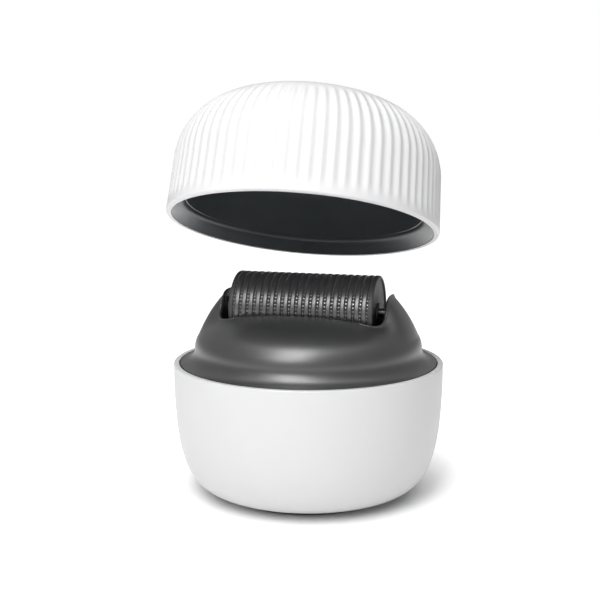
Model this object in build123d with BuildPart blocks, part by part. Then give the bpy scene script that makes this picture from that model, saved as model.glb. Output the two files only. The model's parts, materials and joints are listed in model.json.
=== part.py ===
from build123d import *
import os
from math import acos, cos, degrees, hypot, pi, radians, sin, sqrt, tan

# Palm-size micro-needle roller: a white bowl that fills the hand, a charcoal head with the needle
# roller in a pocket between two cheeks, and a fluted lid that lifts straight off its magnets.
# Millimetres. The origin is the centre of the foot's underside, +Z is up and the roller lies along X.
# The lid is placed where it is held when open: lifted clear and tipped back.

# ---------------------------------------------------------------- driving dimensions
# Bowl and foot
rim_radius = 32.5
rim_height = 32.0
rim_land = 1.3            # width of the flat ring at the bowl's mouth
rim_round = 0.35
bowl_wall = 2.0
bowl_side_reach = 20.0    # how far the bowl's side stays close to upright below the rim
bowl_heel_reach = 8.9     # how far the underside stays close to level outside the foot
foot_radius = 21.0
foot_stand = 1.2          # height of the foot that shows below the bowl
foot_sunk = 0.8           # depth of the foot in its recess
foot_edge = 0.5
rebate_depth = 1.8        # seat of the head cover's flange in the bowl's mouth
shelf_width = 0.8

# Head cover
flange_gap = 0.3          # shadow line between the flange and the rim
cover_wall = 1.8
flare_radius = 3.5        # hollow curve between the flange and the dome
dome_rise = 13.0          # top of the low dome above the rim
dome_crown_reach = 15.0
dome_side_reach = 7.0
cheek_center_drop = 3.1   # centre of the cheeks' ball shape below the rim
cheek_ridge_radius = 7.0
cheek_ridge_rise = 10.3   # centre of the ridge's round back above the rim
cheek_thickness = 3.74    # cheek beside the axle
pocket_corner = 4.5
pocket_gap = 1.5          # between needle tips and the trough
trough_wall = 1.5
trough_split = 4.9        # joint of the cover and the trough, below the axle

# Roller
axle_rise = 12.4          # axle above the rim
tip_radius = 8.9
needle_length = 0.75      # tooth of a disc; the spacers hide its root
spacer_recess = 0.12      # spacers' crests below the needle tips
spacer_round = 0.62
disc_thickness = 0.2
row_count = 20
needles_per_row = 60
core_radius = 4.5
key_depth = 0.6           # flat on the core that keeps every disc in step
cap_thickness = 1.2
cap_recess = 0.35         # dished face of the end caps
cap_edge = 0.4
end_gap = 2.35            # roller's end to the cheek
axle_radius = 1.0
running_gap = 0.05
bush_wall = 0.55
bush_depth = 1.8
bush_flange_rim = 0.8
bush_flange_thickness = 0.6
axle_end_gap = 0.3

# Inner frame and fasteners
frame_level = 8.0
frame_plate = 1.8
frame_radius = 22.0
frame_wall = 1.8
pedestal_radius = 8.0
column_x = 14.0
column_y = 19.0
column_radius = 3.6
boss_wall = 1.5
bowl_screw_circle = 15.0
bowl_boss_radius = 3.5
screw_radius = 1.2
screw_head_radius = 2.2
screw_head_height = 1.4
screw_gap = 0.15
screw_cross = 0.6
screw_length = 9.0
thread_seat = 4.0         # plastic under each screw head
screw_count = 4
screw_turn = 45           # degrees from +X to the first bowl screw

# Lid
lid_height = 31.5
lid_wall = 1.3
lid_draft = 2.5           # degrees that the side leans in
lid_shoulder_radius = 17.0
lid_crown_radius = 75.0
lid_rim_round = 0.5
liner_gap = 0.1
liner_lip = 2.8           # width of the sloping lip at the mouth
liner_lip_round = 0.6
flute_count = 75
flute_radius = 1.9
flute_depth = 0.35
flute_start = 1.2         # plain band above the mouth
flute_sweep = 58.0        # degrees that the flutes run over the shoulder
lid_closed_gap = 0.3
lid_lift = 32.0
lid_aside = 1.2           # how far the open lid is held towards the roller's left end
lid_tilt = 19.2           # degrees
magnet_radius = 1.0
magnet_length = 2.0
magnet_skin = 0.5         # plastic between a magnet and the cavity
magnet_rise = 3.4         # tipping line above the mouth

# ---------------------------------------------------------------- worked-out places
land_radius = rim_radius - rim_land
flange_radius = land_radius - flange_gap
dome_radius = flange_radius - flare_radius
dome_foot = rim_height + flare_radius
dome_top = rim_height + dome_rise
shelf_level = rim_height - rebate_depth
shelf_radius = land_radius - shelf_width
cheek_center = rim_height - cheek_center_drop
cheek_radius = hypot(dome_radius, dome_foot - cheek_center)
axle_height = rim_height + axle_rise
pocket_length = 2 * (sqrt(cheek_radius**2 - (axle_height - cheek_center) ** 2) - cheek_thickness)
pocket_radius = tip_radius + pocket_gap
roller_length = pocket_length - 2 * end_gap
row_span = roller_length - 2 * cap_thickness
row_pitch = row_span / (row_count - 1)
spacer_radius = tip_radius - spacer_recess
trough_top = axle_height - trough_split
trough_bottom = axle_height - pocket_radius - trough_wall
bush_radius = axle_radius + running_gap + bush_wall
boss_level = shelf_level
bowl_floor = foot_stand + bowl_wall
foot_top = foot_stand + foot_sunk
closed_mouth = rim_height + lid_closed_gap

column_spots = [(x, y) for x in (-column_x, column_x) for y in (-column_y, column_y)]

# The lid's own plane: its origin is the middle of the mouth and its normal runs to the crown.
tipping_line = Vector(-lid_aside, 0, closed_mouth + magnet_rise + lid_lift)
lid_up = Vector(0, sin(radians(lid_tilt)), cos(radians(lid_tilt)))
mouth_center = tipping_line - lid_up * magnet_rise
lid_plane = Plane(origin=mouth_center, x_dir=(1, 0, 0), z_dir=lid_up)
lid_section = Plane(origin=mouth_center, x_dir=(1, 0, 0), z_dir=lid_plane.y_dir * -1)
lid_axis = Axis(mouth_center, lid_up)

# The lid's section is a drafted side, a shoulder arc and a crown arc, each tangent to the next.
lean = radians(lid_draft)
crown_level = lid_height - lid_crown_radius
arc_spacing = lid_crown_radius - lid_shoulder_radius
side_offset = rim_radius * cos(lean) - lid_shoulder_radius - crown_level * sin(lean)
shoulder_turn = lean + acos(side_offset / arc_spacing)
shoulder_reach = arc_spacing * cos(shoulder_turn)
shoulder_level = crown_level + arc_spacing * sin(shoulder_turn)
liner_inset = lid_wall + liner_gap
cavity_inset = liner_inset + liner_lip
cavity_radius = rim_radius - cavity_inset


# ---------------------------------------------------------------- outlines
def bowl_curve(inset):
    """Bowl's side from the rim down to the foot, moved in by inset."""
    side = rim_radius - inset
    heel = foot_stand + inset
    foot = foot_radius + foot_edge - inset
    return Bezier(
        (side, rim_height),
        (side, rim_height - bowl_side_reach),
        (foot + bowl_heel_reach, heel),
        (foot, heel),
    )


def dome_curve(inset):
    """Low dome's outline from its top to the flare, moved in by inset."""
    side = dome_radius - inset
    top = dome_top - inset
    return Bezier(
        (0, top), (dome_crown_reach, top), (side, dome_foot + dome_side_reach - inset), (side, dome_foot)
    )


def room_outline(floor_level):
    """Half section of the room under the dome, from its roof down to a level."""
    roof = dome_curve(cover_wall)
    Polyline(roof @ 1, (dome_radius - cover_wall, floor_level), (0, floor_level), roof @ 0)


def lid_side(inset, level):
    """Radius of the lid's drafted side at a level above the mouth, moved in by inset."""
    return rim_radius - inset / cos(lean) - level * tan(lean)


def lid_body(inset):
    """Half section of the lid inside its side, shoulder and crown, moved in by inset."""
    crown_start = degrees(shoulder_turn)
    shoulder = CenterArc(
        (shoulder_reach, shoulder_level), lid_shoulder_radius - inset, lid_draft, crown_start - lid_draft
    )
    crown = CenterArc((0, crown_level), lid_crown_radius - inset, crown_start, 90 - crown_start)
    Polyline(crown @ 1, (0, 0), (lid_side(inset, 0), 0), shoulder @ 0)


def keyed_bore():
    """Bore of the parts that stack on the core, with the flat of the key."""
    with BuildSketch(mode=Mode.PRIVATE) as bore:
        Circle(core_radius + running_gap)
        with Locations((0, core_radius - key_depth + running_gap)):
            Rectangle(
                2 * core_radius, 2 * key_depth, align=(Align.CENTER, Align.MIN), mode=Mode.SUBTRACT
            )
    return bore.sketch


def needle_star():
    """Outline of one needle disc: a sharp tooth on every step around the rim."""
    root_radius = tip_radius - needle_length
    half_step = pi / needles_per_row
    corners = []
    for step in range(2 * needles_per_row):
        reach = tip_radius if step % 2 == 0 else root_radius
        corners.append((reach * cos(step * half_step), reach * sin(step * half_step)))
    return corners


def across(place):
    """Plane across the roller at a place along it."""
    return Plane(origin=(place, 0, axle_height), x_dir=(0, 1, 0), z_dir=(1, 0, 0))


def finish(piece, label):
    """Name a finished piece and write it."""
    piece.part.label = label
    export_step(piece.part, f"parts/{label}.step")


os.makedirs("parts", exist_ok=True)

# ---------------------------------------------------------------- foot
with BuildPart() as foot_pad:
    Cylinder(foot_radius, foot_top, align=(Align.CENTER, Align.CENTER, Align.MIN))
    chamfer(foot_pad.edges().filter_by(GeomType.CIRCLE).sort_by(Axis.Z)[0], foot_edge)
finish(foot_pad, "foot_pad")

# ---------------------------------------------------------------- bowl
with BuildPart() as bowl_shell:
    with BuildSketch(Plane.XZ):
        with BuildLine():
            outer = bowl_curve(0)
            Polyline(outer @ 1, (0, foot_stand), (0, rim_height), outer @ 0)
        make_face()
    revolve(axis=Axis.Z)
    fillet(bowl_shell.edges().filter_by(GeomType.CIRCLE).sort_by(Axis.Z)[-1], rim_round)
    with BuildSketch(Plane.XZ):
        with BuildLine():
            inner = bowl_curve(bowl_wall)
            Polyline(inner @ 1, (0, bowl_floor), (0, rim_height), inner @ 0)
        make_face()
    revolve(axis=Axis.Z, mode=Mode.SUBTRACT)
    # shelf below the flange, then the rebate the flange drops into
    with BuildSketch(Plane.XZ):
        with BuildLine():
            Polyline(
                (shelf_radius, shelf_level),
                (rim_radius - bowl_wall / 2, shelf_level),
                (rim_radius - bowl_wall / 2, shelf_level - 2 * shelf_width),
                (rim_radius - bowl_wall, shelf_level - 2 * shelf_width),
                (shelf_radius, shelf_level),
            )
        make_face()
    revolve(axis=Axis.Z)
    with BuildSketch(Plane.XY.offset(shelf_level)):
        Circle(land_radius)
    extrude(amount=rebate_depth, mode=Mode.SUBTRACT)
    # recess for the foot, and the four screw bosses
    with BuildSketch(Plane.XY.offset(foot_stand)):
        Circle(foot_radius + running_gap)
    extrude(amount=foot_sunk, mode=Mode.SUBTRACT)
    with BuildSketch(Plane.XY.offset(foot_top)):
        with PolarLocations(bowl_screw_circle, screw_count, start_angle=screw_turn):
            Circle(bowl_boss_radius)
    extrude(amount=frame_level - foot_top)
    with BuildSketch(Plane.XY.offset(foot_top)):
        with PolarLocations(bowl_screw_circle, screw_count, start_angle=screw_turn):
            Circle(screw_head_radius + screw_gap)
    extrude(amount=screw_head_height, mode=Mode.SUBTRACT)
    with BuildSketch(Plane.XY.offset(foot_top)):
        with PolarLocations(bowl_screw_circle, screw_count, start_angle=screw_turn):
            Circle(screw_radius + screw_gap)
    extrude(amount=frame_level - foot_top, mode=Mode.SUBTRACT)
finish(bowl_shell, "bowl_shell")

# ---------------------------------------------------------------- inner frame
bowl_screw_seat = foot_top + screw_head_height
bowl_screw_tip = bowl_screw_seat + screw_length
head_screw_seat = boss_level - thread_seat

with BuildPart() as inner_frame:
    with BuildSketch(Plane.XY.offset(frame_level)):
        Circle(frame_radius)
        with Locations(*column_spots):
            Circle(column_radius)
    extrude(amount=frame_plate)
    with BuildSketch(Plane.XY.offset(frame_level)):
        with Locations(*column_spots):
            Circle(column_radius)
    extrude(amount=boss_level - frame_level)
    with BuildSketch(Plane.XY.offset(frame_level)):
        Circle(pedestal_radius)
    extrude(amount=trough_bottom - frame_level)
    with BuildSketch(Plane.XY.offset(frame_level)):
        Circle(pedestal_radius - frame_wall)
    extrude(amount=trough_bottom - frame_level - frame_plate, mode=Mode.SUBTRACT)
    with BuildSketch(Plane.XY.offset(frame_level)):
        with PolarLocations(bowl_screw_circle, screw_count, start_angle=screw_turn):
            Circle(bowl_boss_radius)
    extrude(amount=bowl_screw_tip + frame_plate - frame_level)
    with BuildSketch(Plane.XY.offset(frame_level)):
        with PolarLocations(bowl_screw_circle, screw_count, start_angle=screw_turn):
            Circle(screw_radius + running_gap)
    extrude(amount=bowl_screw_tip - frame_level, mode=Mode.SUBTRACT)
    with BuildSketch(Plane.XY.offset(frame_level)):
        with Locations(*column_spots):
            Circle(screw_head_radius + screw_gap)
    extrude(amount=head_screw_seat - frame_level, mode=Mode.SUBTRACT)
    with BuildSketch(Plane.XY.offset(head_screw_seat)):
        with Locations(*column_spots):
            Circle(screw_radius + screw_gap)
    extrude(amount=thread_seat, mode=Mode.SUBTRACT)
finish(inner_frame, "inner_frame")


def screw_set(label, seat, spots):
    """Upright screws whose heads sit under a seat level, one at each spot."""
    with BuildPart() as screws:
        with BuildSketch(Plane.XY.offset(seat - screw_head_height)):
            with Locations(*spots):
                Circle(screw_head_radius)
        extrude(amount=screw_head_height)
        with BuildSketch(Plane.XY.offset(seat)):
            with Locations(*spots):
                Circle(screw_radius)
        extrude(amount=screw_length)
        with BuildSketch(Plane.XY.offset(seat - screw_head_height)):
            with Locations(*spots):
                Rectangle(2 * screw_radius, screw_cross)
                Rectangle(screw_cross, 2 * screw_radius)
        extrude(amount=screw_head_height / 2, mode=Mode.SUBTRACT)
    finish(screws, label)


bowl_screw_spots = [
    (bowl_screw_circle * cos(radians(turn)), bowl_screw_circle * sin(radians(turn)))
    for turn in range(screw_turn, screw_turn + 360, 360 // screw_count)
]
screw_set("bowl_screws", bowl_screw_seat, bowl_screw_spots)
screw_set("head_screws", head_screw_seat, column_spots)

# ---------------------------------------------------------------- pocket shared by cover and trough
with BuildPart() as roller_pocket:
    with BuildSketch(Plane.XY.offset(axle_height - pocket_radius)):
        RectangleRounded(pocket_length, 2 * pocket_radius, pocket_corner)
    extrude(amount=2 * pocket_radius)
    with BuildSketch(across(-pocket_length / 2)):
        Circle(pocket_radius)
        Rectangle(2 * pocket_radius, pocket_radius, align=(Align.CENTER, Align.MIN))
    extrude(amount=pocket_length, mode=Mode.INTERSECT)

# ---------------------------------------------------------------- head cover
skirt_length = pocket_length + 2 * trough_wall
skirt_width = 2 * (pocket_radius + trough_wall)
skirt_corner = pocket_corner + trough_wall
magnet_far_end = shelf_radius - running_gap - magnet_skin
magnet_level = shelf_level + magnet_skin / 2
magnet_block = magnet_length + 2 * magnet_skin

with BuildPart() as cheek_ridge:
    with BuildSketch(Plane.YZ.offset(-dome_radius)):
        with Locations((0, rim_height + cheek_ridge_rise)):
            Circle(cheek_ridge_radius)
        with Locations((0, dome_foot)):
            Rectangle(
                2 * cheek_ridge_radius,
                cheek_ridge_rise - flare_radius,
                align=(Align.CENTER, Align.MIN),
            )
    extrude(amount=2 * dome_radius)
    with BuildSketch(Plane.XZ):
        with BuildLine():
            ball = CenterArc((0, cheek_center), cheek_radius, 0, 90)
            Polyline(ball @ 1, (0, cheek_center), ball @ 0)
        make_face()
    revolve(axis=Axis.Z, mode=Mode.INTERSECT)
    with BuildSketch(Plane.XY.offset(rim_height)):
        Rectangle(pocket_length, 2 * dome_radius)
    extrude(amount=2 * dome_rise, mode=Mode.SUBTRACT)

with BuildPart() as cover_hollow:
    with BuildSketch(Plane.XZ):
        with BuildLine():
            room_outline(shelf_level)
        make_face()
    revolve(axis=Axis.Z)
    with BuildSketch(Plane.XY.offset(trough_top)):
        RectangleRounded(skirt_length, skirt_width, skirt_corner)
    extrude(amount=dome_rise, mode=Mode.SUBTRACT)
    with BuildSketch(Plane.XY.offset(boss_level)):
        with Locations(*column_spots):
            Circle(screw_radius + boss_wall)
    extrude(amount=dome_rise, mode=Mode.SUBTRACT)

with BuildPart() as head_cover:
    with BuildSketch(Plane.XZ):
        with BuildLine():
            roof = dome_curve(0)
            flare = RadiusArc(roof @ 1, (flange_radius, rim_height), -flare_radius)
            Polyline(flare @ 1, (flange_radius, shelf_level), (0, shelf_level), roof @ 0)
        make_face()
    revolve(axis=Axis.Z)
    add(cheek_ridge.part)
    # blocks under the flange that hold the magnets
    with BuildSketch(Plane.XY.offset(shelf_level)):
        for side in (-1, 1):
            with Locations((side * (magnet_far_end + magnet_skin - magnet_block / 2), 0)):
                Rectangle(magnet_block, 4 * magnet_radius)
    extrude(amount=-(magnet_radius + magnet_skin / 2))
    add(cover_hollow.part, mode=Mode.SUBTRACT)
    add(roller_pocket.part, mode=Mode.SUBTRACT)
    for side in (-1, 1):
        with BuildSketch(across(side * pocket_length / 2)):
            Circle(bush_radius)
        extrude(amount=side * bush_depth, mode=Mode.SUBTRACT)
    for side in (-1, 1):
        place = side * (magnet_far_end - magnet_length)
        with BuildSketch(Plane(origin=(place, 0, magnet_level), x_dir=(0, 1, 0), z_dir=(side, 0, 0))):
            Circle(magnet_radius + running_gap)
        extrude(amount=magnet_length + running_gap, mode=Mode.SUBTRACT)
    with BuildSketch(Plane.XY.offset(boss_level)):
        with Locations(*column_spots):
            Circle(screw_radius + running_gap)
    extrude(amount=screw_length - thread_seat + running_gap, mode=Mode.SUBTRACT)
finish(head_cover, "head_cover")

with BuildPart() as roller_trough:
    with BuildSketch(Plane.XY.offset(trough_bottom)):
        RectangleRounded(skirt_length, skirt_width, skirt_corner)
    extrude(amount=trough_top - trough_bottom)
    with BuildSketch(Plane.XZ):
        with BuildLine():
            room_outline(frame_level)
        make_face()
    revolve(axis=Axis.Z, mode=Mode.INTERSECT)
    add(roller_pocket.part, mode=Mode.SUBTRACT)
finish(roller_trough, "roller_trough")

# ---------------------------------------------------------------- bushes and axle
for name, side in (("bush_left", -1), ("bush_right", 1)):
    with BuildPart() as bush:
        with BuildSketch(across(side * pocket_length / 2)):
            Circle(bush_radius)
        extrude(amount=side * bush_depth)
        with BuildSketch(across(side * pocket_length / 2)):
            Circle(bush_radius + bush_flange_rim)
        extrude(amount=-side * bush_flange_thickness)
        with BuildSketch(across(side * (pocket_length / 2 - bush_flange_thickness))):
            Circle(axle_radius + running_gap)
        extrude(amount=side * (bush_depth + bush_flange_thickness), mode=Mode.SUBTRACT)
    finish(bush, name)

axle_length = pocket_length + 2 * (bush_depth - axle_end_gap)
with BuildPart() as axle_pin:
    with BuildSketch(across(-axle_length / 2)):
        Circle(axle_radius)
    extrude(amount=axle_length)
    chamfer(axle_pin.edges().filter_by(GeomType.CIRCLE), axle_radius / 4)
finish(axle_pin, "axle_pin")

# ---------------------------------------------------------------- roller
with BuildPart() as roller_core:
    with BuildSketch(across(-row_span / 2 - disc_thickness / 2)):
        Circle(core_radius)
        with Locations((0, core_radius - key_depth)):
            Rectangle(
                2 * core_radius, 2 * key_depth, align=(Align.CENTER, Align.MIN), mode=Mode.SUBTRACT
            )
        Circle(axle_radius, mode=Mode.SUBTRACT)
    extrude(amount=row_span + disc_thickness)
finish(roller_core, "roller_core")

for row in range(row_count):
    place = -row_span / 2 + row * row_pitch
    with BuildPart() as needle_disc:
        with BuildSketch(across(place - disc_thickness / 2)):
            with BuildLine():
                Polyline(*needle_star(), close=True)
            make_face()
            add(keyed_bore(), mode=Mode.SUBTRACT)
        extrude(amount=disc_thickness)
    finish(needle_disc, f"needle_disc_{row + 1:02d}")

spacer_width = row_pitch - disc_thickness
for row in range(row_count - 1):
    place = -row_span / 2 + (row + 0.5) * row_pitch
    with BuildPart() as spacer:
        with BuildSketch(across(place - spacer_width / 2)):
            Circle(spacer_radius)
            add(keyed_bore(), mode=Mode.SUBTRACT)
        extrude(amount=spacer_width)
        crest = spacer.edges().filter_by(GeomType.CIRCLE).group_by(SortBy.RADIUS)[-1]
        fillet(crest, spacer_round)
    finish(spacer, f"spacer_ring_{row + 1:02d}")

for name, side in (("end_cap_left", -1), ("end_cap_right", 1)):
    inner_face = side * (row_span + disc_thickness) / 2
    depth = cap_thickness - disc_thickness / 2
    with BuildPart() as end_cap:
        with BuildSketch(across(inner_face)):
            Circle(spacer_radius)
            Circle(axle_radius, mode=Mode.SUBTRACT)
        extrude(amount=side * depth)
        rims = end_cap.edges().filter_by(GeomType.CIRCLE).group_by(SortBy.RADIUS)[-1]
        chamfer(rims, cap_edge)
        with BuildSketch(across(inner_face + side * depth)):
            Circle(spacer_radius - 2 * cap_edge)
            Circle(axle_radius + cap_thickness, mode=Mode.SUBTRACT)
        extrude(amount=-side * cap_recess, mode=Mode.SUBTRACT)
    finish(end_cap, name)

# ---------------------------------------------------------------- magnets of the base
with BuildPart() as base_magnets:
    for side in (-1, 1):
        place = side * (magnet_far_end - magnet_length)
        with BuildSketch(Plane(origin=(place, 0, magnet_level), x_dir=(0, 1, 0), z_dir=(side, 0, 0))):
            Circle(magnet_radius)
        extrude(amount=magnet_length)
finish(base_magnets, "base_magnets")

# ---------------------------------------------------------------- lid
# The cutter runs up the drafted side and then around the shoulder, as deep all the way.
side_up = lid_up * cos(lean) - lid_plane.x_dir * sin(lean)
side_out = lid_plane.x_dir * cos(lean) + lid_up * sin(lean)
shoulder_pivot = lid_plane.from_local_coords(Vector(shoulder_reach, 0, shoulder_level))
flute_top = shoulder_pivot + side_out * (lid_shoulder_radius - flute_depth + flute_radius)
flute_run = (shoulder_level - flute_start) / cos(lean)

with BuildPart() as flute_cutter:
    with BuildSketch(Plane(origin=flute_top, x_dir=side_out, z_dir=side_up)):
        Circle(flute_radius)
    extrude(amount=-flute_run)
    with BuildSketch(Plane(origin=flute_top, x_dir=side_out, z_dir=side_up)):
        Circle(flute_radius)
    revolve(axis=Axis(shoulder_pivot, lid_plane.y_dir * -1), revolution_arc=flute_sweep)

with BuildPart() as lid_shell:
    with BuildSketch(lid_section):
        with BuildLine():
            lid_body(0)
        make_face()
    revolve(axis=lid_axis)
    mouth_edge = lid_shell.edges().filter_by(GeomType.CIRCLE).sort_by(lid_axis)[0]
    fillet(mouth_edge, lid_rim_round)
    with BuildSketch(lid_section):
        with BuildLine():
            lid_body(lid_wall)
        make_face()
    revolve(axis=lid_axis, mode=Mode.SUBTRACT)
    flutes = [
        flute_cutter.part.rotate(lid_axis, 360 * turn / flute_count) for turn in range(flute_count)
    ]
    add(flutes, mode=Mode.SUBTRACT)
finish(lid_shell, "lid_shell")

with BuildPart() as lid_liner:
    with BuildSketch(lid_section):
        with BuildLine():
            lid_body(liner_inset)
        make_face()
    revolve(axis=lid_axis)
    with BuildSketch(lid_section):
        with BuildLine():
            lid_body(cavity_inset)
        make_face()
    revolve(axis=lid_axis, mode=Mode.SUBTRACT)
    with BuildSketch(lid_section):
        with BuildLine():
            Polyline(
                (0, 0),
                (lid_side(liner_inset, 0), 0),
                (lid_side(cavity_inset, liner_lip), liner_lip),
                (0, liner_lip),
                close=True,
            )
        make_face()
    revolve(axis=lid_axis, mode=Mode.SUBTRACT)
    lip_edge = lid_liner.edges().filter_by(GeomType.CIRCLE).sort_by(lid_axis)[1]
    fillet(lip_edge, liner_lip_round)
    for side in (-1, 1):
        start = tipping_line + Vector(side * (cavity_radius + magnet_skin), 0, 0)
        with BuildSketch(Plane(origin=start, x_dir=(0, 1, 0), z_dir=(side, 0, 0))):
            Circle(magnet_radius + running_gap)
        extrude(amount=2 * magnet_length, mode=Mode.SUBTRACT)
finish(lid_liner, "lid_liner")

with BuildPart() as lid_magnets:
    for side in (-1, 1):
        start = tipping_line + Vector(side * (cavity_radius + magnet_skin + running_gap), 0, 0)
        with BuildSketch(Plane(origin=start, x_dir=(0, 1, 0), z_dir=(side, 0, 0))):
            Circle(magnet_radius)
        extrude(amount=magnet_length)
finish(lid_magnets, "lid_magnets")
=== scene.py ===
import json
import math
import bpy
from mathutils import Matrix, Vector


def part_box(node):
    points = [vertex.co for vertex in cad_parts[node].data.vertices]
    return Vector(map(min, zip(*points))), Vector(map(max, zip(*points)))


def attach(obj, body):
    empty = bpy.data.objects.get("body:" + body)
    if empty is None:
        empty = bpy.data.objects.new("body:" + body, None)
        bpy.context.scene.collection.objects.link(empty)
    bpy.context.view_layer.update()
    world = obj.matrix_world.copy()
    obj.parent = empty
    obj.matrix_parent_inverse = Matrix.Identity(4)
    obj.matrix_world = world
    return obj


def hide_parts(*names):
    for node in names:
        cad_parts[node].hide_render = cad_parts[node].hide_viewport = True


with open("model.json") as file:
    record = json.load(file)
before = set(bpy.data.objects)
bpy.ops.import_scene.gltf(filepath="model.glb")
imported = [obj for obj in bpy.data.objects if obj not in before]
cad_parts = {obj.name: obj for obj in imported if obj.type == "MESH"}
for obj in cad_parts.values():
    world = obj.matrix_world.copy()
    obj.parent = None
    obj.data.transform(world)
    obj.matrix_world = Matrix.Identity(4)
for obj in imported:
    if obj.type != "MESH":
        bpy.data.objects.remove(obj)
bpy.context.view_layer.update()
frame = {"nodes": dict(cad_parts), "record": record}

# Palm-size derma roller: fluted white lid held open above a white bowl with a charcoal head.
# Lengths are metres; MM turns the millimetre sizes below into metres.
MM = 0.001

record = frame["record"]
joints = {joint["name"]: joint for joint in record["behaviour"]["joints"]}

# ---------------------------------------------------------------- places taken from the frame
bowl_low, bowl_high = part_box("bowl_shell")
foot_low, foot_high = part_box("foot_pad")
cover_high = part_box("head_cover")[1]
trough_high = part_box("roller_trough")[1]

rim_radius = bowl_high.x
rim_height = bowl_high.z
foot_stand = bowl_low.z
foot_radius = foot_high.x
flange_radius = cover_high.x
axle_height = joints["roller_spin"]["pos_m"][2]
tipping_line = Vector(joints["lid_tilt"]["pos_m"])
lid_tilt = math.radians(joints["lid_tilt"]["range_deg"][1])

# ---------------------------------------------------------------- sizes of the visible shapes
rim_land = 1.3 * MM
rim_round = 0.35 * MM
bowl_wall = 2.0 * MM
bowl_side_reach = 20.0 * MM
bowl_heel_reach = 8.9 * MM
foot_lip = 0.5 * MM
shelf_level = rim_height - 1.8 * MM
flare_radius = 3.5 * MM
dome_radius = flange_radius - flare_radius
dome_foot = rim_height + flare_radius
dome_top = rim_height + 13.0 * MM
dome_crown_reach = 15.0 * MM
dome_side_reach = 7.0 * MM
cheek_center = rim_height - 3.1 * MM
cheek_radius = math.hypot(dome_radius, dome_foot - cheek_center)
cover_wall = 1.8 * MM
pocket_wall = 1.5 * MM
pocket_radius = trough_high.y - pocket_wall
pocket_half = trough_high.x - pocket_wall
pocket_corner = 4.5 * MM
pocket_lip = 0.65 * MM
ridge_half = 6.1 * MM
lid_height = 31.5 * MM
lid_wall = 1.3 * MM
lid_draft = math.radians(2.5)
lid_shoulder = 17.0 * MM
lid_crown = 75.0 * MM
magnet_rise = 3.4 * MM
liner_gap = 0.1 * MM
liner_lip = 2.8 * MM
flute_count = 75
flute_depth = 0.38 * MM
flute_start = 0.6 * MM
flute_full = 4.5 * MM
flute_fade_radius = 27.6 * MM
flute_end_radius = 23.6 * MM
tip_radius = 8.9 * MM
needles_per_row = 60
needle_rows = 20
needle_base = 0.055 * MM
valley_radius = 8.46 * MM
crest_radius = tip_radius - 0.12 * MM
crown_power = 5.0
disc_bore = 4.55 * MM
# Painted shade: size of the black patch laid round each needle's foot.
shade_patch_long = 0.30 * MM
shade_patch_wide = 0.34 * MM


# ---------------------------------------------------------------- outline helpers
def arc(center, radius, start, end, steps):
    """Points of an arc in the (r, z) plane; angles in degrees."""
    points = []
    for step in range(steps + 1):
        turn = math.radians(start + (end - start) * step / steps)
        points.append((center[0] + radius * math.cos(turn), center[1] + radius * math.sin(turn)))
    return points


def bezier(a, b, c, d, steps):
    """Points of a cubic curve in the (r, z) plane."""
    points = []
    for step in range(steps + 1):
        t = step / steps
        weights = ((1 - t) ** 3, 3 * t * (1 - t) ** 2, 3 * t * t * (1 - t), t**3)
        points.append(tuple(sum(w * p[k] for w, p in zip(weights, (a, b, c, d))) for k in (0, 1)))
    return points


def line(a, b, steps):
    """Points from a to b, without the last."""
    return [(a[0] + (b[0] - a[0]) * k / steps, a[1] + (b[1] - a[1]) * k / steps) for k in range(steps)]


def smooth(low, high, value):
    """0 below low, 1 above high, and a soft step between."""
    t = min(max((value - low) / (high - low), 0.0), 1.0)
    return t * t * (3 - 2 * t)


# ---------------------------------------------------------------- mesh helpers
def make_mesh(name, points, faces, sharp=35.0):
    """A smooth-shaded mesh object that keeps its crisp edges."""
    mesh = bpy.data.meshes.new(name)
    mesh.from_pydata(points, [], faces)
    mesh.validate()
    mesh.update()
    mesh.shade_smooth()
    mesh.set_sharp_from_angle(angle=math.radians(sharp))
    piece = bpy.data.objects.new(name, mesh)
    bpy.context.scene.collection.objects.link(piece)
    return piece


def closed_rings(name, rings, place=lambda p: p, sharp=35.0):
    """A closed skin through rings of points; a ring of one point closes the skin at a pole."""
    points = []
    starts = []
    for ring in rings:
        starts.append(len(points))
        points.extend(place(p) for p in ring)
    around = max(len(ring) for ring in rings)
    faces = []
    looped = len(rings[0]) > 1 and len(rings[-1]) > 1
    for k in range(len(rings) if looped else len(rings) - 1):
        here, there = rings[k], rings[(k + 1) % len(rings)]
        a, b = starts[k], starts[(k + 1) % len(rings)]
        for i in range(around):
            j = (i + 1) % around
            if len(here) == 1:
                faces.append((a, b + j, b + i))
            elif len(there) == 1:
                faces.append((a + i, a + j, b))
            else:
                faces.append((a + i, a + j, b + j, b + i))
    return make_mesh(name, points, faces, sharp)


def turned_rings(outline, segments):
    """Rings of an (r, z) outline turned about Z; a point on the axis stays one point."""
    turns = [2 * math.pi * i / segments for i in range(segments)]
    rings = []
    for r, z in outline:
        if abs(r) < 1e-9:
            rings.append([Vector((0, 0, z))])
        else:
            rings.append([Vector((r * math.cos(t), r * math.sin(t), z)) for t in turns])
    return rings


def lathe(name, outline, segments, place=lambda p: p, sharp=35.0):
    """Turns an (r, z) outline about the Z axis. Ends on the axis close the skin."""
    return closed_rings(name, turned_rings(outline, segments), place, sharp)


def on_axle(center):
    """Turns a piece lathed about Z onto the roller's axle, with its z = 0 at a place along X."""
    return lambda p: Vector((center + p.z, p.x, axle_height + p.y))


def in_lid(p):
    """Puts a point of the level lid, with its mouth at z = 0, where the open lid is."""
    y, z = p.y, p.z - magnet_rise
    back = Vector(
        (
            p.x,
            y * math.cos(lid_tilt) + z * math.sin(lid_tilt),
            -y * math.sin(lid_tilt) + z * math.cos(lid_tilt),
        )
    )
    return back + tipping_line


def fit(piece, body, node, material):
    """Rides a piece on its body in place of its CAD node, and gives it its material."""
    piece.data.materials.clear()
    piece.data.materials.append(material)
    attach(piece, body)
    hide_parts(node)


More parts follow.
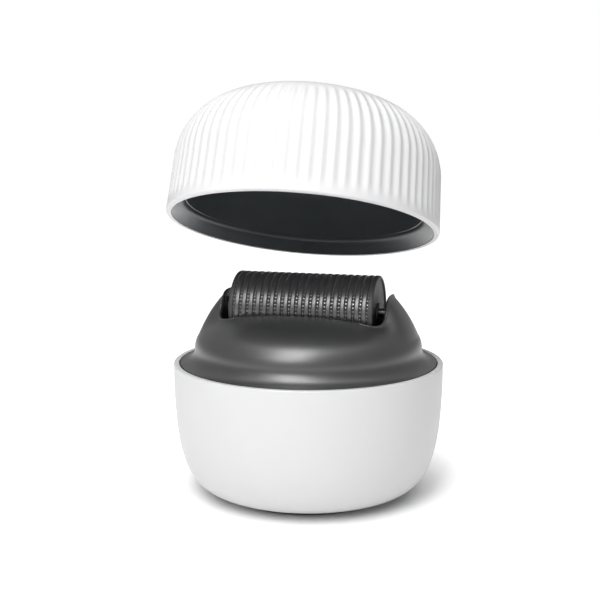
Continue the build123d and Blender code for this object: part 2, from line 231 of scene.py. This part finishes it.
# ---------------------------------------------------------------- materials
class Finish:
    """Builds one procedural material step by step."""

    def __init__(self, name, color, roughness, metallic=0.0, coat=0.0, coat_roughness=0.1, ior=1.5):
        self.material = bpy.data.materials.new(name)
        self.material.use_nodes = True
        self.tree = self.material.node_tree
        self.shader = self.tree.nodes["Principled BSDF"]
        self.shader.inputs["Base Color"].default_value = (*color, 1)
        self.shader.inputs["Roughness"].default_value = roughness
        self.shader.inputs["Metallic"].default_value = metallic
        self.shader.inputs["IOR"].default_value = ior
        self.shader.inputs["Coat Weight"].default_value = coat
        self.shader.inputs["Coat Roughness"].default_value = coat_roughness
        self.color = color
        self.roughness = roughness
        self.place = self.tree.nodes.new("ShaderNodeTexCoord").outputs["Object"]
        self.height = None

    def noise(self, scale, detail=3.0, rough=0.55):
        node = self.tree.nodes.new("ShaderNodeTexNoise")
        node.inputs["Scale"].default_value = scale
        node.inputs["Detail"].default_value = detail
        node.inputs["Roughness"].default_value = rough
        self.tree.links.new(self.place, node.inputs["Vector"])
        return node.outputs["Fac"]

    def spread(self, source, low, high, start=0.3, end=0.7):
        node = self.tree.nodes.new("ShaderNodeMapRange")
        node.inputs["From Min"].default_value = start
        node.inputs["From Max"].default_value = end
        node.inputs["To Min"].default_value = low
        node.inputs["To Max"].default_value = high
        self.tree.links.new(source, node.inputs["Value"])
        return node.outputs["Result"]

    def tint(self, source, other, share):
        """Mixes towards another colour where the source is high, by up to share."""
        mix = self.tree.nodes.new("ShaderNodeMix")
        mix.data_type = "RGBA"
        mix.inputs["A"].default_value = (*self.color, 1)
        mix.inputs["B"].default_value = (*other, 1)
        self.tree.links.new(self.spread(source, 0.0, share), mix.inputs["Factor"])
        self.tree.links.new(mix.outputs["Result"], self.shader.inputs["Base Color"])
        return self

    def vary_roughness(self, scale, swing):
        source = self.noise(scale)
        value = self.spread(source, self.roughness - swing, self.roughness + swing)
        self.tree.links.new(value, self.shader.inputs["Roughness"])
        return self

    def grain(self, scale, strength, distance=0.00002, detail=2.0):
        """Fine moulded or ground texture in the surface."""
        bump = self.tree.nodes.new("ShaderNodeBump")
        bump.inputs["Strength"].default_value = strength
        bump.inputs["Distance"].default_value = distance
        self.tree.links.new(self.noise(scale, detail), bump.inputs["Height"])
        if self.height is not None:
            self.tree.links.new(self.height, bump.inputs["Normal"])
        self.height = bump.outputs["Normal"]
        self.tree.links.new(self.height, self.shader.inputs["Normal"])
        return self


def white_plastic(name, color):
    finish = Finish(name, color, 0.34, coat=0.12, coat_roughness=0.22)
    finish.tint(finish.noise(90.0), tuple(c * 0.985 for c in color), 0.8)
    finish.vary_roughness(160.0, 0.03)
    finish.grain(9000.0, 0.10)
    finish.grain(140.0, 0.05, 0.0001)
    return finish.material


def charcoal_plastic(name, color, roughness, grain, coat=0.0, ior=1.5):
    finish = Finish(name, color, roughness, coat=coat, coat_roughness=roughness * 0.8, ior=ior)
    finish.tint(finish.noise(220.0, 4.0), tuple(c * 1.18 for c in color), 0.7)
    finish.vary_roughness(260.0, 0.04)
    finish.grain(7000.0, grain)
    finish.grain(600.0, 0.06, 0.00005)
    return finish.material


def metal(name, color, roughness, scale, metallic=1.0):
    finish = Finish(name, color, roughness, metallic=metallic)
    finish.tint(finish.noise(scale), tuple(c * 0.8 for c in color), 0.8)
    finish.vary_roughness(scale * 2, 0.07)
    finish.grain(scale * 6, 0.15, 0.00001)
    return finish.material


bowl_white = white_plastic("bowl_white", (0.62, 0.62, 0.623))
lid_white = white_plastic("lid_white", (0.665, 0.665, 0.668))
# Painted light: the foot is the bowl's white plastic given a far paler colour, so it reads lit under the
# bowl's overhang.
foot_painted_pale = charcoal_plastic("foot_painted_pale", (0.90, 0.90, 0.90), 0.45, 0.1)
# Black for the thin disc along the foot's bottom edge, where it meets the floor.
foot_bottom_black = charcoal_plastic("foot_bottom_black", (0.012, 0.012, 0.012), 0.8, 0.2)
cover_charcoal = charcoal_plastic("cover_charcoal", (0.026, 0.026, 0.0268), 0.43, 0.02, 0.9, 1.7)
trough_charcoal = charcoal_plastic("trough_charcoal", (0.020, 0.020, 0.021), 0.5, 0.12)
liner_charcoal = charcoal_plastic("liner_charcoal", (0.050, 0.057, 0.062), 0.33, 0.01, 0.7)
roller_charcoal = charcoal_plastic("roller_charcoal", (0.030, 0.030, 0.0305), 0.38, 0.02, 1.0, 1.9)
# Painted shade: near-black for the patches round the needles' feet.
painted_needle_shade = charcoal_plastic("painted_needle_shade", (0.006, 0.006, 0.006), 0.7, 0.1)
core_grey = charcoal_plastic("core_grey", (0.16, 0.16, 0.16), 0.5, 0.2)
frame_grey = charcoal_plastic("frame_grey", (0.20, 0.20, 0.21), 0.5, 0.25)
# Painted shade: the bushes are given near-black so they sink into the shade at the pocket's ends.
bush_acetal = charcoal_plastic("bush_acetal", (0.030, 0.030, 0.030), 0.5, 0.1)
cap_charcoal = charcoal_plastic("cap_charcoal", (0.045, 0.045, 0.046), 0.48, 0.06)
# Painted highlight: the needles' steel is near-white and half diffuse, so the needles read bright at the
# roller's top and bottom.
needle_steel = metal("needle_steel", (0.93, 0.93, 0.94), 0.38, 900.0, 0.45)
pin_steel = metal("pin_steel", (0.16, 0.16, 0.165), 0.42, 700.0)
screw_zinc = metal("screw_zinc", (0.55, 0.55, 0.57), 0.35, 500.0)
magnet_nickel = metal("magnet_nickel", (0.66, 0.64, 0.60), 0.16, 300.0)


# ---------------------------------------------------------------- bowl and foot
def bowl_side(inset, steps):
    """Bowl's outline from the foot up to the rim, moved in by inset."""
    side = rim_radius - inset
    heel = foot_stand + inset
    foot = foot_radius + foot_lip - inset
    points = bezier(
        (side, rim_height),
        (side, rim_height - bowl_side_reach),
        (foot + bowl_heel_reach, heel),
        (foot, heel),
        steps,
    )
    return points[::-1]


def bowl():
    """Open bowl with a rounded rim, a shelf under it and a recess for the foot."""
    outer = bowl_side(0.0, 72)
    inner = bowl_side(bowl_wall, 40)
    recess = foot_radius + 0.05 * MM
    outline = [(recess, foot_stand + 0.8 * MM), (recess, foot_stand + 0.1 * MM)]
    outline += arc((foot_radius + 0.15 * MM, foot_stand + 0.1 * MM), 0.1 * MM, 180, 270, 3)
    outline += outer[:-1]
    outline += arc((rim_radius - rim_round, rim_height - rim_round), rim_round, 0, 90, 8)
    outline += arc((rim_radius - rim_land + 0.15 * MM, rim_height - 0.15 * MM), 0.15 * MM, 90, 180, 4)
    outline += [(rim_radius - rim_land, shelf_level), (rim_radius - rim_land - 0.8 * MM, shelf_level)]
    outline += [point for point in inner[::-1] if point[1] < shelf_level - 2 * MM]
    outline += [(0.0, foot_stand + bowl_wall), (0.0, foot_stand + 0.8 * MM)]
    outline = [point for point in outline if point[1] <= rim_height]
    piece = lathe("bowl_body", outline, 256)
    fit(piece, "base", "bowl_shell", bowl_white)


def foot():
    """Foot disc painted far paler than the bowl's white, so its side reads lit in the shade under the bowl;
    it stands on a thinner black disc at its bottom edge.
    """
    pad_top = foot_low.z + 0.45 * MM
    pad_radius = foot_radius - 0.45 * MM
    outline = [(0.0, pad_top), (pad_radius, pad_top), (foot_radius - 0.12 * MM, pad_top)]
    outline += arc((foot_radius - 0.12 * MM, pad_top + 0.12 * MM), 0.12 * MM, 270, 360, 4)
    outline += [(foot_radius, foot_high.z), (0.0, foot_high.z)]
    piece = lathe("foot_disc", outline, 192)
    fit(piece, "base", "foot_pad", foot_painted_pale)
    outline = [(0.0, foot_low.z), (pad_radius, foot_low.z), (pad_radius, pad_top), (0.0, pad_top)]
    piece = lathe("foot_bottom_disc", outline, 160)
    fit(piece, "base", "foot_pad", foot_bottom_black)


# ---------------------------------------------------------------- lid
def lid_outline(inset, steps):
    """Lid's side, shoulder and crown from the mouth to the axis, moved in by inset."""
    crown_center = lid_height - lid_crown
    spacing = lid_crown - lid_shoulder
    offset = rim_radius * math.cos(lid_draft) - lid_shoulder - crown_center * math.sin(lid_draft)
    turn = lid_draft + math.acos(offset / spacing)
    center = (spacing * math.cos(turn), crown_center + spacing * math.sin(turn))
    shoulder = arc(center, lid_shoulder - inset, math.degrees(lid_draft), math.degrees(turn), steps)
    points = line((rim_radius - inset / math.cos(lid_draft), 0.0), shoulder[0], steps)
    points += shoulder[:-1]
    points += arc((0.0, crown_center), lid_crown - inset, math.degrees(turn), 90, steps)
    points[-1] = (0.0, lid_height - inset)
    return points


def fluted(point, turn):
    """How deep the flute pattern is at an outline point and an angle about the lid's axis."""
    radius, height = point
    up = smooth(flute_start, flute_full, height)
    top = smooth(flute_end_radius, flute_fade_radius, radius)
    wave = 0.5 + 0.5 * math.cos(flute_count * turn)
    return flute_depth * up * top * wave**0.8


def lid():
    round_edge = 0.5 * MM
    outer = [point for point in lid_outline(0.0, 44) if point[1] > round_edge]
    inner = lid_outline(lid_wall, 24)
    outline = arc((rim_radius - round_edge, round_edge), round_edge, 270, 360, 8)[:-1] + outer
    segments = flute_count * 12
    rings = []
    for k, point in enumerate(outline):
        if point[0] < 1e-9:
            rings.append([Vector((0, 0, point[1]))])
            continue
        before = outline[max(k - 1, 0)]
        after = outline[min(k + 1, len(outline) - 1)]
        slope = Vector((after[0] - before[0], after[1] - before[1])).normalized()
        ring = []
        for i in range(segments):
            turn = 2 * math.pi * i / segments
            sunk = fluted(point, turn)
            r = point[0] - sunk * slope.y
            z = point[1] + sunk * slope.x
            ring.append(Vector((r * math.cos(turn), r * math.sin(turn), z)))
        rings.append(ring)
    lining = turned_rings([(rim_radius - lid_wall + 0.1 * MM, 0.0)] + inner, segments)
    piece = closed_rings("lid_cap", lining[::-1] + rings, in_lid, 50.0)
    fit(piece, "lid", "lid_shell", lid_white)


def liner():
    lip_out = rim_radius - lid_wall - liner_gap
    cavity = lip_out - liner_lip
    lip_round = 1.1 * MM
    outer = lid_outline(lid_wall + liner_gap, 24)
    inner = [p for p in lid_outline(rim_radius - cavity, 36) if p[1] > liner_lip + lip_round]
    slope = line((lip_out, 0.15 * MM), (cavity + lip_round, liner_lip - lip_round), 6)
    bend = bezier(
        (cavity + lip_round, liner_lip - lip_round),
        (cavity + 0.2 * lip_round, liner_lip - 0.2 * lip_round),
        (cavity, liner_lip),
        (cavity, liner_lip + lip_round),
        8,
    )
    outline = outer[::-1][:-1] + slope + bend + inner
    piece = lathe("lid_lining", outline, 256, in_lid)
    fit(piece, "lid", "lid_liner", liner_charcoal)


# ---------------------------------------------------------------- head cover
def pocket_edge(turn):
    """Distance from the middle to the pocket's edge, a rounded rectangle, in a direction."""
    c, s = abs(math.cos(turn)), abs(math.sin(turn))
    corner = Vector((pocket_half - pocket_corner, pocket_radius - pocket_corner))
    straight = min(pocket_half / c if c > 1e-9 else 1e9, pocket_radius / s if s > 1e-9 else 1e9)
    hit = Vector((straight * c, straight * s))
    if hit.x <= corner.x or hit.y <= corner.y:
        return straight
    along = corner.x * c + corner.y * s
    off = corner.length_squared - pocket_corner**2
    return along + math.sqrt(max(along * along - off, 0.0))


dome_points = bezier(
    (0.0, dome_top),
    (dome_crown_reach, dome_top),
    (dome_radius, dome_foot + dome_side_reach),
    (dome_radius, dome_foot),
    400,
)


def dome_from(radius, steps):
    """Points of the low dome's outline from a radius down to the flare."""
    start = next(k for k, point in enumerate(dome_points) if point[0] >= radius)
    span = len(dome_points) - 1 - start
    kept = [dome_points[start + round(span * k / steps)] for k in range(steps + 1)]
    kept[0] = (radius, kept[0][1])
    return kept


def cheek_lift(x, y, z):
    """How far the cheeks stand above the low dome at a point of it."""
    ball = cheek_radius**2 - x * x - y * y
    gap = cheek_center + math.sqrt(max(ball, 0.0)) - z
    soft = 0.25 * MM
    gap = 0.5 * (gap + math.sqrt(gap * gap + soft * soft)) - 0.5 * soft
    outward = max(abs(x) - pocket_half, 0.0)
    half = ridge_half + 0.35 * outward
    return max(gap, 0.0) / (1 + (abs(y) / half) ** 6) * smooth(8 * MM, 15 * MM, abs(x))


def cover():
    """Flange, dome and cheeks as profiles set round the middle, from the pocket out and back inside."""
    segments = 720
    skirt_level = trough_high.z
    steps = 46
    columns = []
    for i in range(segments):
        turn = 2 * math.pi * i / segments
        c, s = math.cos(turn), math.sin(turn)
        edge = pocket_edge(turn)
        profile = []
        roof = dome_from(edge, steps)
        top = [(r, z + cheek_lift(r * c, r * s, z)) for r, z in roof]
        lip = top[0][1]
        profile += [(edge, skirt_level + (lip - pocket_lip - skirt_level) * k / 6) for k in range(6)]
        for k in range(6):
            bend = math.radians(90 * k / 6)
            out = edge + pocket_lip * (1 - math.cos(bend))
            profile.append((out, lip - pocket_lip * (1 - math.sin(bend))))
        for r, z in top:
            if r - edge < pocket_lip:
                continue
            profile.append((r, z))
        shortfall = 12 + steps + 1 - len(profile)
        last = profile[12]
        bend_end = profile[11]
        extra = []
        for k in range(shortfall):
            share = (k + 1) / (shortfall + 1)
            extra.append(
                (bend_end[0] + (last[0] - bend_end[0]) * share, bend_end[1] + (last[1] - bend_end[1]) * share)
            )
        profile[12:12] = extra
        profile += arc((flange_radius, dome_foot), flare_radius, 180, 270, 16)[1:]
        profile += [(flange_radius, shelf_level), (dome_radius - cover_wall, shelf_level)]
        inner = [(r, z - cover_wall) for r, z in dome_from(edge + pocket_wall, 16)]
        inner = [(min(r, dome_radius - cover_wall), z) for r, z in inner]
        profile += inner[::-1]
        profile += [(edge + pocket_wall, skirt_level)]
        columns.append([Vector((r * c, r * s, z)) for r, z in profile])
    rings = [[column[k] for column in columns] for k in range(len(columns[0]))]
    piece = closed_rings("head_dome", rings, sharp=60.0)
    fit(piece, "base", "head_cover", cover_charcoal)


# ---------------------------------------------------------------- roller
def spacers():
    """Crowned rings between the needle rows."""
    for row in range(needle_rows - 1):
        node = f"spacer_ring_{row + 1:02d}"
        low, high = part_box(node)
        half = (high.x - low.x) / 2
        crown = half - 0.10 * MM
        outline = [(disc_bore, half), (disc_bore, -half)]
        outline += [(valley_radius - 0.2 * MM, -half), (valley_radius, -half)]
        for k in range(17):
            across = -1 + 2 * k / 16
            rise = (1 - abs(across) ** crown_power) * (crest_radius - valley_radius)
            outline.append((valley_radius + rise, across * crown))
        outline += [(valley_radius, half), (valley_radius - 0.2 * MM, half)]
        piece = lathe(f"spacer_{row + 1:02d}", outline, 144, on_axle((low.x + high.x) / 2))
        fit(piece, "roller", node, roller_charcoal)


def needle_discs():
    """Each disc shows as a ring of fine needles; its hub lies hidden between the spacers."""
    root = valley_radius - 0.1 * MM
    sides = 6
    for row in range(needle_rows):
        node = f"needle_disc_{row + 1:02d}"
        low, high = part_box(node)
        center = (low.x + high.x) / 2
        half = (high.x - low.x) / 2
        points = []
        faces = []
        ring = 2 * needles_per_row
        for side in (-half, half):
            for reach in (disc_bore, root):
                for i in range(ring):
                    turn = 2 * math.pi * i / ring
                    up = axle_height + reach * math.sin(turn)
                    points.append((center + side, reach * math.cos(turn), up))
        for i in range(ring):
            j = (i + 1) % ring
            in0, out0, in1, out1 = (k * ring + i for k in range(4))
            jn0, jt0, jn1, jt1 = (k * ring + j for k in range(4))
            faces += [(in0, out0, jt0, jn0), (in1, jn1, jt1, out1)]
            faces += [(out0, out1, jt1, jt0), (in0, jn0, jn1, in1)]
        for i in range(needles_per_row):
            turn = 2 * math.pi * i / needles_per_row
            out = Vector((0, math.cos(turn), math.sin(turn)))
            around = Vector((0, -math.sin(turn), math.cos(turn)))
            along = Vector((1, 0, 0))
            middle = Vector((center, 0, axle_height))
            start = len(points)
            taper = ((root - 0.05 * MM, needle_base), (tip_radius - 0.1 * MM, 0.4 * needle_base))
            for level, width in taper:
                for k in range(sides):
                    spin = 2 * math.pi * k / sides
                    edge = along * (width * math.cos(spin)) + around * (width * math.sin(spin))
                    points.append(middle + out * level + edge)
            points.append(middle + out * tip_radius)
            for k in range(sides):
                m = (k + 1) % sides
                faces.append((start + k, start + m, start + sides + m, start + sides + k))
                faces.append((start + sides + k, start + sides + m, start + 2 * sides))
            faces.append(tuple(start + k for k in range(sides))[::-1])
        piece = make_mesh(f"needle_row_{row + 1:02d}", points, faces, 40.0)
        fit(piece, "roller", node, needle_steel)


def needle_shade_patches():
    """Painted shade: a thin black patch round the foot of every needle, so the needles read as dark dots."""
    level = valley_radius + 0.02 * MM
    sides = 10
    for row in range(needle_rows):
        node = f"needle_disc_{row + 1:02d}"
        low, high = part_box(node)
        middle = Vector(((low.x + high.x) / 2, 0, axle_height))
        points = []
        faces = []
        for i in range(needles_per_row):
            turn = 2 * math.pi * i / needles_per_row
            out = Vector((0, math.cos(turn), math.sin(turn)))
            around = Vector((0, -math.sin(turn), math.cos(turn)))
            start = len(points)
            for rise in (-0.1 * MM, 0.0):
                for k in range(sides):
                    spin = 2 * math.pi * k / sides
                    edge = Vector((shade_patch_long * math.cos(spin), 0, 0))
                    edge += around * (shade_patch_wide * math.sin(spin))
                    points.append(middle + out * (level + rise) + edge)
            faces.append(tuple(start + sides + k for k in range(sides)))
            faces.append(tuple(start + k for k in range(sides))[::-1])
            for k in range(sides):
                m = (k + 1) % sides
                faces.append((start + k, start + m, start + sides + m, start + sides + k))
        piece = make_mesh(f"needle_shade_row_{row + 1:02d}", points, faces, 30.0)
        piece.data.materials.append(painted_needle_shade)
        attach(piece, "roller")


def end_caps():
    """Dished caps at the roller's two ends."""
    crest = crest_radius
    for name, side in (("left", -1), ("right", 1)):
        low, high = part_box(f"end_cap_{name}")
        inner = low.x if side > 0 else high.x
        depth = high.x - low.x
        edge = 0.4 * MM
        dish = crest - 2 * edge
        hub = 2.2 * MM
        outline = [(1.0 * MM, 0.0), (crest - 0.1 * MM, 0.0), (crest, 0.1 * MM)]
        outline += arc((crest - edge, depth - edge), edge, 0, 90, 6)
        outline += [(dish + 0.05 * MM, depth), (dish - 0.12 * MM, depth - 0.35 * MM)]
        outline += [(hub + 0.12 * MM, depth - 0.35 * MM), (hub, depth - 0.05 * MM)]
        outline += [(hub - 0.1 * MM, depth), (1.0 * MM, depth)]
        place = lambda p, inner=inner, side=side: Vector((inner + side * p.z, p.x, axle_height + p.y))
        piece = lathe(f"cap_{name}", outline, 160, place)
        fit(piece, "roller", f"end_cap_{name}", cap_charcoal)


# ---------------------------------------------------------------- CAD pieces that show as they are
def dress():
    """Gives the CAD pieces that stay their finished materials."""
    finishes = {
        "inner_frame": frame_grey,
        "bowl_screws": screw_zinc,
        "head_screws": screw_zinc,
        "roller_trough": trough_charcoal,
        "bush_left": bush_acetal,
        "bush_right": bush_acetal,
        "base_magnets": magnet_nickel,
        "lid_magnets": magnet_nickel,
        "axle_pin": pin_steel,
        "roller_core": core_grey,
    }
    for node, material in finishes.items():
        for place in frame["nodes"][node].material_slots:
            place.material = material


bowl()
foot()
lid()
liner()
cover()
spacers()
needle_discs()
needle_shade_patches()
end_caps()
dress()


# ---------------------------------------------------------------- floor, light and camera
def floor():
    size = 3.0
    corners = [(-size, -size, 0), (size, -size, 0), (size, size, 0), (-size, size, 0)]
    piece = make_mesh("floor", [Vector(c) for c in corners], [(0, 1, 2, 3)])
    finish = Finish("floor_white", (0.93, 0.93, 0.93), 0.32)
    finish.tint(finish.noise(3.0), (0.94, 0.94, 0.94), 0.5)
    finish.shader.inputs["Specular IOR Level"].default_value = 0.35
    finish.shader.inputs["Emission Color"].default_value = (1, 1, 1, 1)
    glow = finish.tree.nodes.new("ShaderNodeVectorMath")
    glow.operation = "LENGTH"
    finish.tree.links.new(finish.place, glow.inputs[0])
    # Painted light: the floor glows, from nothing within 23.5 mm of the middle to full from 50 mm out,
    # filling the lamps' cast shadows beyond the foot.
    painted_floor_glow = finish.spread(glow.outputs["Value"], 0.0, 0.60, 0.0235, 0.050)
    path = finish.tree.nodes.new("ShaderNodeLightPath")
    product = finish.tree.nodes.new("ShaderNodeMath")
    product.operation = "MULTIPLY"
    # The glow counts in full for the camera and at 40% for the light it throws on the object.
    finish.tree.links.new(painted_floor_glow, product.inputs[0])
    seen = finish.spread(path.outputs["Is Camera Ray"], 0.40, 1.0, 0.0, 1.0)
    finish.tree.links.new(seen, product.inputs[1])
    finish.tree.links.new(product.outputs["Value"], finish.shader.inputs["Emission Strength"])
    piece.data.materials.append(finish.material)


def softbox(name, place, target, size, power, spread=180.0):
    light = bpy.data.lights.new(name, "AREA")
    light.shape = "RECTANGLE"
    light.size, light.size_y = size
    light.energy = power
    light.spread = math.radians(spread)
    lamp = bpy.data.objects.new(name, light)
    lamp.location = place
    lamp.rotation_euler = (Vector(target) - Vector(place)).to_track_quat("-Z", "Y").to_euler()
    bpy.context.scene.collection.objects.link(lamp)


def skylight(name, strength, spread):
    """Soft even light from straight above, as far as the floor reaches."""
    light = bpy.data.lights.new(name, "SUN")
    light.energy = strength
    light.angle = math.radians(spread)
    lamp = bpy.data.objects.new(name, light)
    lamp.location = (0, 0, 1)
    bpy.context.scene.collection.objects.link(lamp)


def studio():
    world = bpy.data.worlds.new("studio")
    world.use_nodes = True
    tree = world.node_tree
    background = tree.nodes["Background"]
    background.inputs["Color"].default_value = (1, 1, 1, 1)
    background.inputs["Strength"].default_value = 0.30
    seen = tree.nodes.new("ShaderNodeBackground")
    seen.inputs["Color"].default_value = (1, 1, 1, 1)
    seen.inputs["Strength"].default_value = 1.0
    mix = tree.nodes.new("ShaderNodeMixShader")
    path = tree.nodes.new("ShaderNodeLightPath")
    tree.links.new(path.outputs["Is Camera Ray"], mix.inputs["Fac"])
    tree.links.new(background.outputs[0], mix.inputs[1])
    tree.links.new(seen.outputs[0], mix.inputs[2])
    tree.links.new(mix.outputs[0], tree.nodes["World Output"].inputs["Surface"])
    bpy.context.scene.world = world
    middle = (0, 0, 0.045)
    softbox("key", (-0.054, -0.382, 0.505), middle, (0.26, 0.64), 3.4)
    softbox("streak", (0.059, -0.42, 0.47), (0, 0, 0.04), (0.09, 0.40), 0.45)
    skylight("top", 0.8, 70.0)


# The camera looks at the object from the front, turned a little towards the roller's right end.
camera_turn = math.radians(15.4)
camera_back = 273.5 * MM
camera_rise = 90.8 * MM
camera_side = 2.03 * MM
camera_pitch = 0.160
camera_lens = 69.0


def camera():
    data = bpy.data.cameras.new("camera")
    data.lens = camera_lens
    data.sensor_width = 36.0
    data.clip_start = 0.01
    data.clip_end = 20.0
    piece = bpy.data.objects.new("camera", data)
    across = Vector((math.cos(camera_turn), math.sin(camera_turn), 0))
    ahead = Vector((-math.sin(camera_turn), math.cos(camera_turn), 0))
    piece.location = -across * camera_side - ahead * camera_back + Vector((0, 0, camera_rise))
    look = ahead * math.cos(camera_pitch) - Vector((0, 0, math.sin(camera_pitch)))
    piece.rotation_euler = look.to_track_quat("-Z", "Y").to_euler()
    bpy.context.scene.collection.objects.link(piece)
    bpy.context.scene.camera = piece


floor()
studio()
camera()
bpy.context.scene.view_settings.view_transform = "Standard"
bpy.context.scene.view_settings.look = "None"
